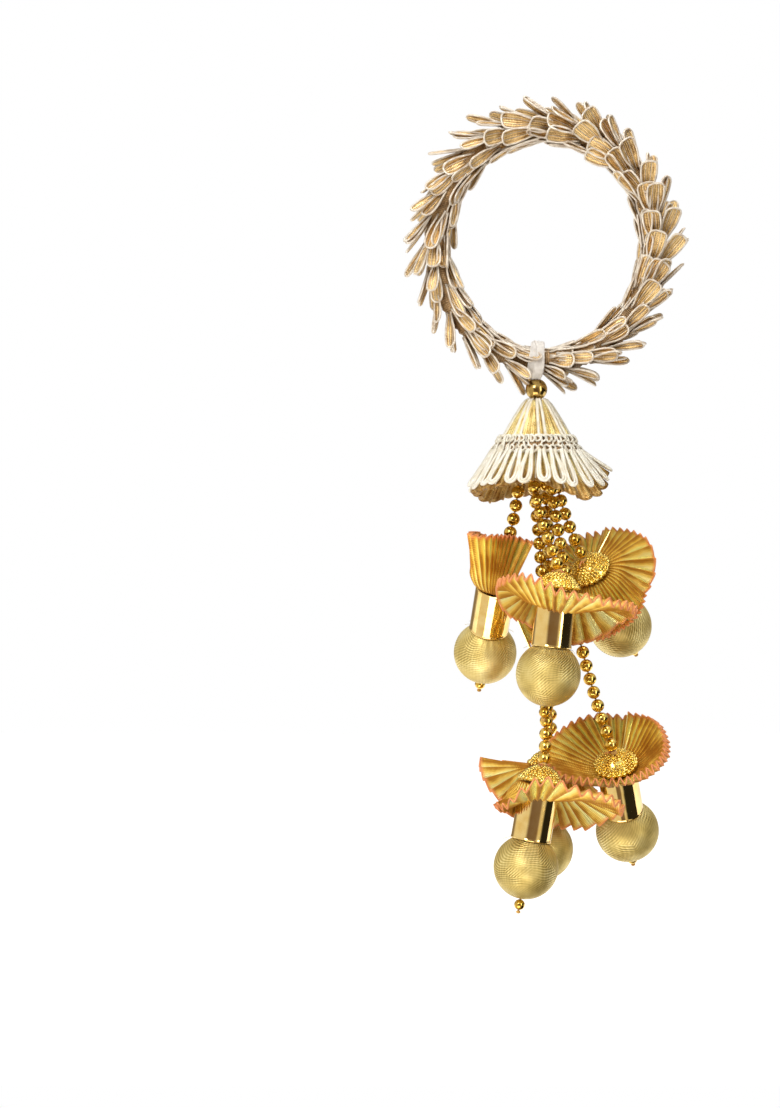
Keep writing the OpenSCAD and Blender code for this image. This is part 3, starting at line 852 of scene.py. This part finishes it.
def makeThread(name, place, line, draw):
    heap = newHeap()
    knot = np.array([ring["tieX"], 0, neckZ - hanger["knotDrop"]])
    low, top = endBead["height"] - endBead["radius"], beadCap["rim"] + beadCap["height"] + 0.15
    fasten = knot + beads["threadStart"] * unit(line[-1] - knot)
    addCord(heap, np.concatenate([[place((0, 0, low - 1.0))], line[::4], [fasten]]), beads["thread"])
    for height, size in ((low - 0.6, 0.7), (top, 1.0)):  # knots that hold the drop
        addTurned(heap, roundProfile(size, height, 0.7), 10, place)
    s = np.array([0.1, 0.4, 0.7, 1])
    for k in range(3):  # loose ends by the upper knot
        a = draw.uniform(0, math.tau)
        end = onCircle(draw.uniform(1.5, 3.2) * s, a, top + 1.2 * s - 1.6 * s * s)
        addCord(heap, place(end), 0.16, 5, 1)
    makePiece(heap, "thread_" + name, [goldenThread, coralThread])


def makeBeadCap(name, place, draw):
    heap = newHeap()
    radius, height = beadCap["radius"] - beadCap["inset"], beadCap["height"] - beadCap["inset"]
    curve = (radius ** 2 + height ** 2) / (2 * height)
    hollow = curve - beadCap["shell"]
    middle = beadCap["rim"] + height - curve  # of the sphere that the dome is cut from
    span = math.asin(radius / curve)
    turn = np.linspace(0.12, span, 16)
    outer = [(curve * math.sin(a), middle + curve * math.cos(a)) for a in turn]
    inner = [(hollow * math.sin(a), middle + hollow * math.cos(a)) for a in turn[::-1]]
    addTurned(heap, (outer + inner)[::-1], 64, place)
    grain = beadCap["grain"]
    for row, a in enumerate(np.linspace(0.17, span * 0.97, 9)):
        ringRadius = curve * math.sin(a)
        count = max(6, int(math.tau * ringRadius / (2.1 * grain)))
        for k in range(count):
            if draw.random() < beadCap["missing"]:
                continue
            b = math.tau * (k + 0.5 * (row % 2) + draw.uniform(-0.15, 0.15)) / count
            size = grain * draw.uniform(0.75, 1.12)
            addGrain(heap, onCircle(ringRadius, b, middle + curve * math.cos(a) + 0.15), size, place)
    # A row of larger grains round the rim
    for spot in onCircle(radius + 0.1, fullTurn(beadCap["rimGrains"]), beadCap["rim"] + 0.55):
        addGrain(heap, spot, beadCap["rimGrain"], place)
    makePiece(heap, "bead_cap_" + name, [filigreeGold])


def addGrain(heap, spot, size, place):
    addTurned(heap, roundProfile(size, end=0.25, rows=5), 8, lambda g: place(g + spot))


# Pleated rosettes
rosette = {
    "radius": 21.0, "rise": 1.35, "hub": 1.4, "crease": 7.2, "overlap": 4,
    "thickness": 0.34, "edgeCord": 0.27, "columnsPerPleat": 8,
    "ribbonWidth": 20.6, "pleatFlat": 4.2,  # the flat ribbon, and how much of it each pleat takes
    "bendFrom": 0.85, "bendTo": 0.12,  # shares of the way before and after the crease
    "runs": (1.4, 6.3, 10.7, 23.6),  # cloth from the middle to the hub, the bend's two ends and the rim
    "spread": 0.55,  # how far gathered pleats turn back outwards
    "sagFrom": 6.4,  # distance from the middle at which a sagging front begins to drop
    "sagSkew": 0.4, "sagWidth": 0.6,  # lower: deepest nearer the tube, and wider round it
    "rimColour": (0.95, 0.38, 0.12),
    "rimTint": [(22.32, 0), (23.52, 0.8)],  # how much of it, by cloth from the middle
}
rosetteRibbon = rosetteFinish()


def liftAt(lifts, share):
    x = share * (len(lifts) - 1)
    k = np.minimum(x.astype(int), len(lifts) - 2)
    lifts = np.array(lifts, float)
    return mix(lifts[k], lifts[k + 1], smooth(x - k))


def rayPoint(angle, lift, sway, along, height):
    past = np.maximum(0, along - rosette["crease"])
    r = along - past + past * np.cos(sway) * np.cos(lift) - np.where(past > 0, height * np.sin(lift), 0)
    aside = past * np.sin(sway)
    z = past * np.cos(sway) * np.sin(lift) + height * np.where(past > 0, np.cos(lift), 1)
    return onCircle(r, angle, z) + onCircle(aside, angle + math.pi / 2, 0)


def makeRosette(name, place, draw):
    drop = {**usualDrop, **drops[name]}
    pleats, perPleat = drop["pleats"], rosette["columnsPerPleat"]
    columns = pleats * perPleat + 1
    share = np.linspace(0, 1, columns)
    angle = np.radians(drop["seam"] - rosette["overlap"] / 2 + (360 + rosette["overlap"]) * share)
    lift = np.radians(liftAt(drop["lifts"], share))
    towards, gather = np.radians(drop["gather"])
    angle = angle - gather * np.sin(angle - towards)
    sway = rosette["spread"] * gather * np.sin(angle - towards) * (1 + np.cos(angle - towards))
    size = np.repeat([draw.uniform(0.82, 1.15) for _ in range(pleats + 1)], perPleat)[:columns]
    size = np.convolve(np.pad(size, 4, mode="edge"), np.ones(9) / 9, mode="valid")
    reach = rosette["radius"] + drop["reach"] * np.cos(angle - math.radians(drop["reachSide"]))
    reach = reach + 0.25 * np.sin(angle * 5 + draw.uniform(0, 6))
    fold = -zigzag(share * pleats)
    fold = mix(fold, np.sin(math.pi / 2 * fold), 0.6)  # creases rounded off
    crease = rosette["crease"]
    lines = []
    for out, bend in ((rosette["hub"], 0), (crease, 0), (crease + 2, 0.7), (None, 1)):
        along = reach if out is None else np.full(columns, float(out))
        height = fold * size * rosette["rise"] * along / reach
        lines.append(rayPoint(angle, bend * lift, bend * sway, along, height))
    a, b, c, d = lines
    bendFrom, bendTo = rosette["bendFrom"], rosette["bendTo"]
    before, after, corner = mix(a, b, bendFrom), mix(c, d, bendTo), mix(b, c, 0.45)
    rows = [mix(a, b, t) for t in np.linspace(0, bendFrom, 6)]
    for t in np.linspace(0, 1, 6)[1:]:  # the bend, rounded off
        rows.append((1 - t) ** 2 * before + 2 * t * (1 - t) * corner + t * t * after)
    rows += [mix(c, d, t) for t in np.linspace(bendTo, 1, 14)[1:]]
    grid = np.array(rows)
    hub, low, high, end = rosette["runs"]
    run = np.linspace(low, high, 6)[1:]
    run = np.concatenate([np.linspace(hub, low, 6), run, np.linspace(high, end, 14)[1:]])
    sag, sagSide = drop["sag"]
    past = np.clip((run - rosette["sagFrom"]) / (end - rosette["sagFrom"]), 0, 1)
    dip = np.sin(math.pi * past ** rosette["sagSkew"])[:, None]
    grid[..., 2] -= sag * dip * np.maximum(0, np.cos(angle - math.radians(sagSide))) ** rosette["sagWidth"]
    spots = spotGrid(share * pleats * rosette["pleatFlat"], run)
    heap = newHeap()
    addSheet(heap, place(grid), spots, rosette["thickness"], backShift=rosette["pleatFlat"] / 2)
    rim = place(grid[-1])
    outward = unit(rim - place(grid[-2]))
    addCord(heap, rim + outward * 0.05, rosette["edgeCord"], 6, 1)
    piece = makePiece(heap, "rosette_" + name, [rosetteRibbon, coralThread], sharp=70)


# Gold tubes, and the covered balls whose cloth is gathered up into them
ball = {
    "radius": 9.6, "neck": 4.9, "neckSteps": (0.4, 1.0, 1.8, 3.0), "folds": 24,
    "wefts": 46, "weftPitch": 1.3, "frays": 9,
}
ballTissue = tissueFinish()


def makeTube(name, place):
    heap = newHeap()
    outer, inner = tube["radius"], tube["inner"]
    wall = outer - 0.04
    top, low = tube["top"], tube["top"] - tube["length"]
    profile = [(inner, low + 0.2), (inner + 0.1, low + 0.03), (outer - 0.1, low), (outer + 0.05, low + 0.15),
               (outer + 0.05, low + 0.45), (wall, low + 0.65)]
    profile += [(wall, z) for z in np.linspace(low + 0.9, top - 0.9, 9)]
    profile += [(wall, top - 0.6), (outer, top - 0.28)]
    profile += [(outer - 0.1, top), (inner + 0.1, top), (inner, top - 0.2)]
    addTurned(heap, profile, 96, place)
    makePiece(heap, "tube_" + name, [tubeGold], sharp=60)


def makeBall(name, place, draw):
    heap = newHeap()
    radius, neck = ball["radius"], ball["neck"]
    tubeLow = tube["top"] - tube["length"]
    middle = tubeLow - math.sqrt(radius ** 2 - (tube["radius"] - 0.5) ** 2) - 0.15
    join = math.pi - math.asin(neck / radius)
    polar = np.linspace(0.05, join, 72)
    profile = [(radius * math.sin(a), middle - radius * math.cos(a)) for a in polar]
    profile += [(neck, middle - radius * math.cos(join) + s) for s in ball["neckSteps"]]
    columns = 144
    grid = turnedGrid(profile, columns)
    turn = fullTurn(columns)
    height = np.array(profile)[:, 1:]
    reach = 4.5  # how far below the tube the folds start
    near = smooth((height - (tubeLow - reach)) / reach) * (1 - smooth((height - tubeLow + 0.2) / 0.6))
    phase = draw.uniform(0, 6)
    folds = (np.sin(ball["folds"] * turn + phase + 1.1 * np.sin(3 * turn)) * 0.55
             + np.sin(11 * turn + phase * 2) * 0.45)[None]
    dent = 0.1 * np.sin(2 * turn + phase)[None] * np.sin(np.linspace(0, math.pi, len(profile)))[:, None] ** 2
    push = 1 + (-0.03 * near * (1 - folds) / 2 - 0.006 * (dent > 0) * dent)
    grid[..., :2] *= push[..., None]
    draw.random()  # a draw that is passed over, so that the frayed ends stay where they are
    arc = np.concatenate([polar * radius, polar[-1] * radius + np.array(ball["neckSteps"])])
    spots = spotGrid(np.arange(columns + 1) / columns * ball["wefts"] * ball["weftPitch"], arc)
    addGrid(heap, place(grid), spots, closeCols=True)
    closeEnds(heap, len(profile), columns, spots)
    s = np.linspace(0, 1, 5)
    for k in range(ball["frays"]):  # frayed ends of the cloth under the tube
        a = draw.uniform(0, math.tau)
        lean = a + draw.uniform(-0.5, 0.5)
        fray = onCircle(draw.uniform(1.2, 3.4) * s, lean, tubeLow - 0.15 - 1.1 * s * s)
        addCord(heap, place(fray + onCircle(tube["radius"] - 0.35, a, 0)), 0.05, 4)
    makePiece(heap, "ball_" + name, [ballTissue])


def makeEndBead(name, place):
    heap = newHeap()
    profile = beadProfile(endBead["radius"], endBead["bore"], 15)
    addTurned(heap, [(r, z + endBead["height"]) for r, z in profile], 28, place)
    makePiece(heap, "end_bead_" + name, [beadGold])


for index, name in enumerate(drops):
    place = readDrop(name)
    draw = random.Random(beads["seed"] + index)
    line = makeString(name, place, draw)
    makeThread(name, place, line, draw)
    makeBeadCap(name, place, draw)
    makeRosette(name, place, draw)
    makeTube(name, place)
    makeBall(name, place, draw)
    makeEndBead(name, place)
    print("drop hung:", name)

# Pale floor and soft studio light
studio = {
    "floorZ": -0.262, "floorSize": 1.6, "floorY": 0.85, "floorGlow": 0.4,
    "backdrop": (1.0, 1.0, 1.0), "ceiling": (0.75, 0.74, 0.72), "lampAim": (0, 0, -0.08),
    # walls that the metal mirrors, by degrees from the front, right positive
    "walls": [(-180, (0.4, 0.36, 0.3)), (-135, (0.25, 0.2, 0.15)), (-115, (0.9, 0.86, 0.76)),
              (-40, (0.85, 0.8, 0.7)), (-26, (0.2, 0.14, 0.11)), (22, (0.24, 0.18, 0.15)),
              (32, (0.8, 0.75, 0.62)), (44, (0.75, 0.7, 0.56)), (54, (0.02, 0.02, 0.015)),
              (112, (0.03, 0.025, 0.02)), (130, (0.42, 0.38, 0.3)), (180, (0.4, 0.36, 0.3))],
}


def makeFloor():
    mesh = bpy.data.meshes.new("floor")
    s, y, z = studio["floorSize"] / 2, studio["floorY"], studio["floorZ"]
    mesh.from_pydata([(-s, y - s, z), (s, y - s, z), (s, y + s, z), (-s, y + s, z)], [], [(0, 1, 2, 3)])
    material, tree, shader = newFinish("paleFloor", rough=0.9)
    paint(tree, shader, ramp(tree, noise(tree, 3), (0.3, grey(0.86)), (0.7, grey(0.9))))
    shader.inputs["Emission Color"].default_value = (1, 1, 1, 1)
    shader.inputs["Emission Strength"].default_value = studio["floorGlow"]
    mesh.materials.append(material)
    newObject("floor", mesh)


# name, place, size, power, colour
lamps = [
    ("keyLamp", (-0.45, -0.85, 0.5), (0.3, 0.6), 7.0, (1.0, 0.98, 0.94)),
    ("fillLamp", (0.7, -0.75, 0.05), (0.2, 0.8), 2.4, (1.0, 0.96, 0.9)),
    ("lowLamp", (-0.2, -0.6, -0.75), (0.7, 0.5), 4.5, (1.0, 0.97, 0.92)),
    ("topLamp", (0.1, -0.1, 0.8), (0.5, 0.5), 4.6, (1.0, 0.98, 0.94)),
]


def setLights():
    for name, place, size, power, colour in lamps:
        lamp = bpy.data.lights.new(name, "AREA")
        lamp.shape = "RECTANGLE"
        lamp.size, lamp.size_y = size
        lamp.energy = power
        lamp.color = colour
        holder = newObject(name, lamp)
        holder.location = place
        aim = np.array(studio["lampAim"]) - np.array(place)
        holder.rotation_mode = "QUATERNION"
        holder.rotation_quaternion = Vector(aim).to_track_quat("-Z", "Y")
    world = bpy.data.worlds.new("studio")
    world.use_nodes = True
    bpy.context.scene.world = world
    tree = world.node_tree
    tree.nodes.clear()
    out = addNode(tree, "OutputWorld")
    direction = addNode(tree, "TexCoord").outputs["Generated"]
    sideways, depth, height = addNode(tree, "SeparateXYZ", {0: direction}).outputs
    facing = maths(tree, "ARCTAN2", sideways, maths(tree, "MULTIPLY", depth, -1.0))
    walls = ramp(tree, maths(tree, "ADD", maths(tree, "DIVIDE", facing, math.tau), 0.5),
                 *[(degrees / 360 + 0.5, colour) for degrees, colour in studio["walls"]])
    rise = maths(tree, "ADD", maths(tree, "MULTIPLY", height, 0.5), 0.5)
    upward = ramp(tree, rise, (0.6, grey(0)), (0.8, grey(1)))
    room = addNode(tree, "MixRGB", {0: upward, 1: walls, 2: (*studio["ceiling"], 1)}).outputs[0]
    inside = addNode(tree, "Background", {"Color": room, "Strength": 1.0})
    seen = addNode(tree, "Background", {"Color": (*studio["backdrop"], 1), "Strength": 1.0})
    ray = addNode(tree, "LightPath").outputs[0]
    both = addNode(tree, "MixShader", {0: ray, 1: inside.outputs[0], 2: seen.outputs[0]})
    tree.links.new(both.outputs[0], out.inputs[0])
    settings = bpy.context.scene.view_settings
    settings.view_transform = "Standard"
    settings.look = "None"


makeFloor()
setLights()
print("studio lit")
